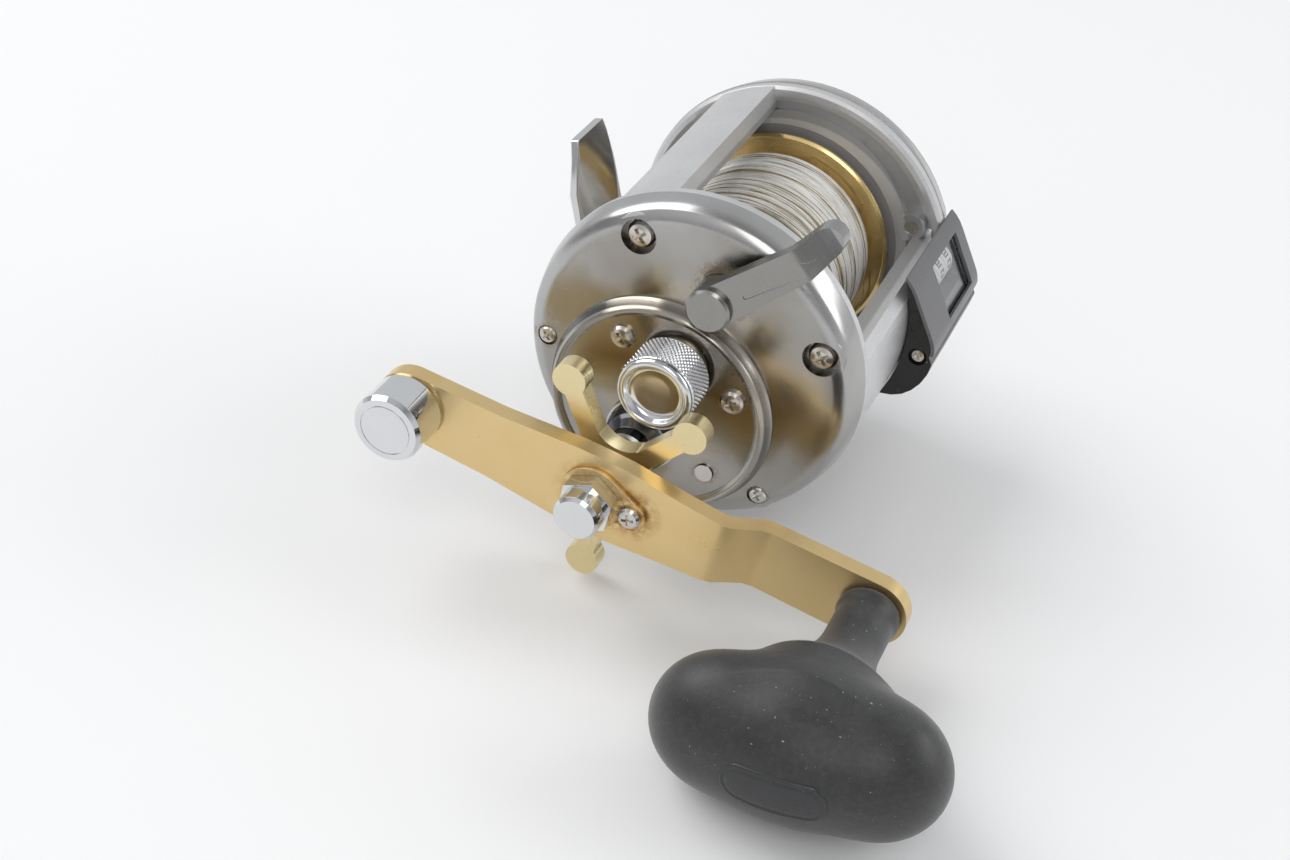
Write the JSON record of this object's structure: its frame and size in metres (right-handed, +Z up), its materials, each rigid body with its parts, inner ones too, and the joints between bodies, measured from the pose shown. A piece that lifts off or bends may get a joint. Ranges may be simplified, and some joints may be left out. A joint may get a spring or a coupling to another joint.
{
  "type": "levelwind trolling reel",
  "caption": "Round conventional trolling reel with levelwind, mechanical line counter, star drag, clutch lever and single T-grip handle on a stamped rod-seat foot.",
  "frame": {"origin": "centre of the reel foot's flat underside, where it rests in the rod's reel seat", "axes": "+X along the spool axis towards the handle; +Y forward, the way the line leaves; +Z up, away from the foot"},
  "size_m": [0.1485, 0.0839, 0.1162],
  "materials": {
    "cast_frame": "satin light grey casting",
    "polished_plate": "polished",
    "dark_plate": "satin",
    "stainless": "polished stainless",
    "screw_steel": "bright plated, worn",
    "gold_spool": "gold anodised, polished",
    "braid": "braided line, wound",
    "shaft_steel": "ground",
    "spring_steel": "plain",
    "gear_brass": "machined",
    "drag_fibre": "matte woven",
    "gold_handle": "champagne anodised, satin",
    "gold_star": "champagne anodised, satin",
    "chrome_trim": "polished",
    "dark_sleeve": "dark polished",
    "grip_rubber": "satin",
    "badge_rubber": "satin",
    "knurled_cap": "knurled",
    "lever_metal": "satin metallic",
    "gear_plastic": "natural",
    "guide_metal": "satin",
    "counter_black": "gloss",
    "counter_grey": "satin",
    "window_clear": "clear",
    "digit_white": "white with dark digits",
    "button_black": "satin"
  },
  "bodies": {
    "reel_frame": {"frame": "cast_frame", "right_side_plate": "polished_plate", "left_side_plate": "polished_plate", "right_inner_plate": "dark_plate", "left_inner_plate": "dark_plate", "reel_foot": "stainless", "foot_rivets": "screw_steel", "spool_bearings": "shaft_steel", "left_bearing_cap": "chrome_trim", "yoke_springs": "spring_steel", "plain_bushes": "gear_brass", "roller_clutch": "shaft_steel", "large_plate_screws": "screw_steel", "small_screws": "screw_steel", "housing_screws": "screw_steel", "worm_guard": "stainless", "stabiliser_bar": "stainless", "counter_housing": "counter_black", "counter_bezel": "counter_grey", "counter_window": "window_clear", "counter_axle": "shaft_steel"},
    "spool": {"spool": "gold_spool", "wound_line": "braid", "spool_shaft": "shaft_steel", "click_ratchet": "shaft_steel", "spool_gear": "gear_brass"},
    "clutch_yoke": {"yoke": "spring_steel"},
    "pinion": {"pinion": "gear_brass"},
    "clutch_lever": {"clutch_lever": "lever_metal"},
    "handle": {"drive_shaft": "shaft_steel", "drive_gear": "gear_brass", "drag_washers": "drag_fibre", "ratchet_wheel": "spring_steel", "drag_sleeve": "dark_sleeve", "spring_washers": "spring_steel", "handle_spacer": "gold_star", "handle_blade": "gold_handle", "handle_nut": "chrome_trim", "nut_retainer": "gold_handle", "retainer_screw": "screw_steel", "counterweight": "chrome_trim", "grip_spindle": "shaft_steel"},
    "star_drag": {"star_drag": "gold_star"},
    "grip": {"grip": "grip_rubber", "grip_badge": "badge_rubber"},
    "anti_reverse_pawl": {"anti_reverse_pawl": "spring_steel"},
    "cast_control": {"cast_control_cap": "knurled_cap", "cast_control_disc": "drag_fibre"},
    "levelwind_worm": {"levelwind_worm": "shaft_steel", "worm_gear": "gear_brass"},
    "line_guide": {"line_guide": "guide_metal", "guide_pawl": "gear_brass"},
    "levelwind_idler": {"levelwind_idler": "gear_plastic"},
    "counter_idler": {"counter_idler": "gear_plastic"},
    "counter_gear": {"counter_gear": "gear_plastic"},
    "digit_units": {"digit_wheel_units": "digit_white"},
    "digit_tens": {"digit_wheel_tens": "digit_white"},
    "digit_hundreds": {"digit_wheel_hundreds": "digit_white"},
    "counter_reset": {"counter_reset_button": "button_black"},
    "clicker": {"clicker_button": "button_black"}
  },
  "joints": [
    {"name": "handle_turn", "type": "hinge", "parent": "reel_frame", "child": "handle", "pos_m": [0, 0.013, 0.02079], "axis": [1, 0, 0], "continuous": true},
    {"name": "spool_spin", "type": "hinge", "parent": "reel_frame", "child": "spool", "pos_m": [0, -0.0011, 0.0295], "axis": [1, 0, 0], "continuous": true},
    {"name": "clutch_lever_swing", "type": "hinge", "parent": "reel_frame", "child": "clutch_lever", "pos_m": [0, -0.0163, 0.0405], "axis": [1, 0, 0], "range_deg": [-25, 0]},
    {"name": "yoke_slide", "type": "slide", "parent": "reel_frame", "child": "clutch_yoke", "axis": [1, 0, 0], "range_m": [0, 0.001], "deforming": ["yoke_springs"]},
    {"name": "pinion_spin", "type": "hinge", "parent": "clutch_yoke", "child": "pinion", "pos_m": [0, -0.0011, 0.0295], "axis": [1, 0, 0], "continuous": true},
    {"name": "star_drag_turn", "type": "hinge", "parent": "handle", "child": "star_drag", "pos_m": [0, 0.013, 0.02079], "axis": [1, 0, 0], "range_deg": [-270, 90]},
    {"name": "grip_spin", "type": "hinge", "parent": "handle", "child": "grip", "pos_m": [0, 0.03582, 0.06973], "axis": [1, 0, 0], "continuous": true},
    {"name": "pawl_swing", "type": "hinge", "parent": "reel_frame", "child": "anti_reverse_pawl", "pos_m": [0, 0.01873, 0.03156], "axis": [1, 0, 0], "range_deg": [0, 8]},
    {"name": "cast_control_turn", "type": "hinge", "parent": "reel_frame", "child": "cast_control", "pos_m": [0, -0.0011, 0.0295], "axis": [1, 0, 0], "range_deg": [-180, 180]},
    {"name": "worm_spin", "type": "hinge", "parent": "reel_frame", "child": "levelwind_worm", "pos_m": [0, 0.02584, 0.02571], "axis": [1, 0, 0], "continuous": true},
    {"name": "line_guide_slide", "type": "slide", "parent": "reel_frame", "child": "line_guide", "axis": [1, 0, 0], "range_m": [-0.0175, 0.0175]},
    {"name": "levelwind_idler_spin", "type": "hinge", "parent": "reel_frame", "child": "levelwind_idler", "pos_m": [0, 0.01217, 0.02763], "axis": [1, 0, 0], "continuous": true},
    {"name": "counter_idler_spin", "type": "hinge", "parent": "reel_frame", "child": "counter_idler", "pos_m": [0, 0.00748, 0.04749], "axis": [1, 0, 0], "continuous": true},
    {"name": "counter_gear_spin", "type": "hinge", "parent": "reel_frame", "child": "counter_gear", "pos_m": [0, 0.0043, 0.06092], "axis": [1, 0, 0], "continuous": true},
    {"name": "units_wheel_turn", "type": "hinge", "parent": "reel_frame", "child": "digit_units", "pos_m": [0, 0.0043, 0.06092], "axis": [1, 0, 0], "continuous": true},
    {"name": "tens_wheel_turn", "type": "hinge", "parent": "reel_frame", "child": "digit_tens", "pos_m": [0, 0.0043, 0.06092], "axis": [1, 0, 0], "continuous": true},
    {"name": "hundreds_wheel_turn", "type": "hinge", "parent": "reel_frame", "child": "digit_hundreds", "pos_m": [0, 0.0043, 0.06092], "axis": [1, 0, 0], "continuous": true},
    {"name": "counter_reset_press", "type": "slide", "parent": "reel_frame", "child": "counter_reset", "axis": [1, 0, 0], "range_m": [0, 0.0012], "stiffness_N_per_m": 300, "springref_m": -0.001},
    {"name": "clicker_slide", "type": "slide", "parent": "reel_frame", "child": "clicker", "axis": [0, 0, 1], "range_m": [0, 0.006]}
  ],
  "couplings": [
    {"joint": "spool_spin", "follows": "handle_turn", "ratio": -4.2},
    {"joint": "pinion_spin", "follows": "handle_turn", "ratio": -4.2},
    {"joint": "levelwind_idler_spin", "follows": "handle_turn", "ratio": 1.1094},
    {"joint": "worm_spin", "follows": "handle_turn", "ratio": -3.675},
    {"joint": "counter_idler_spin", "follows": "handle_turn", "ratio": -1.2},
    {"joint": "counter_gear_spin", "follows": "handle_turn", "ratio": 2.94},
    {"joint": "units_wheel_turn", "follows": "handle_turn", "ratio": 0.17},
    {"joint": "tens_wheel_turn", "follows": "handle_turn", "ratio": 0.017},
    {"joint": "hundreds_wheel_turn", "follows": "handle_turn", "ratio": 0.0017},
    {"joint": "yoke_slide", "follows": "clutch_lever_swing", "m_per_rad": -0.002292}
  ]
}
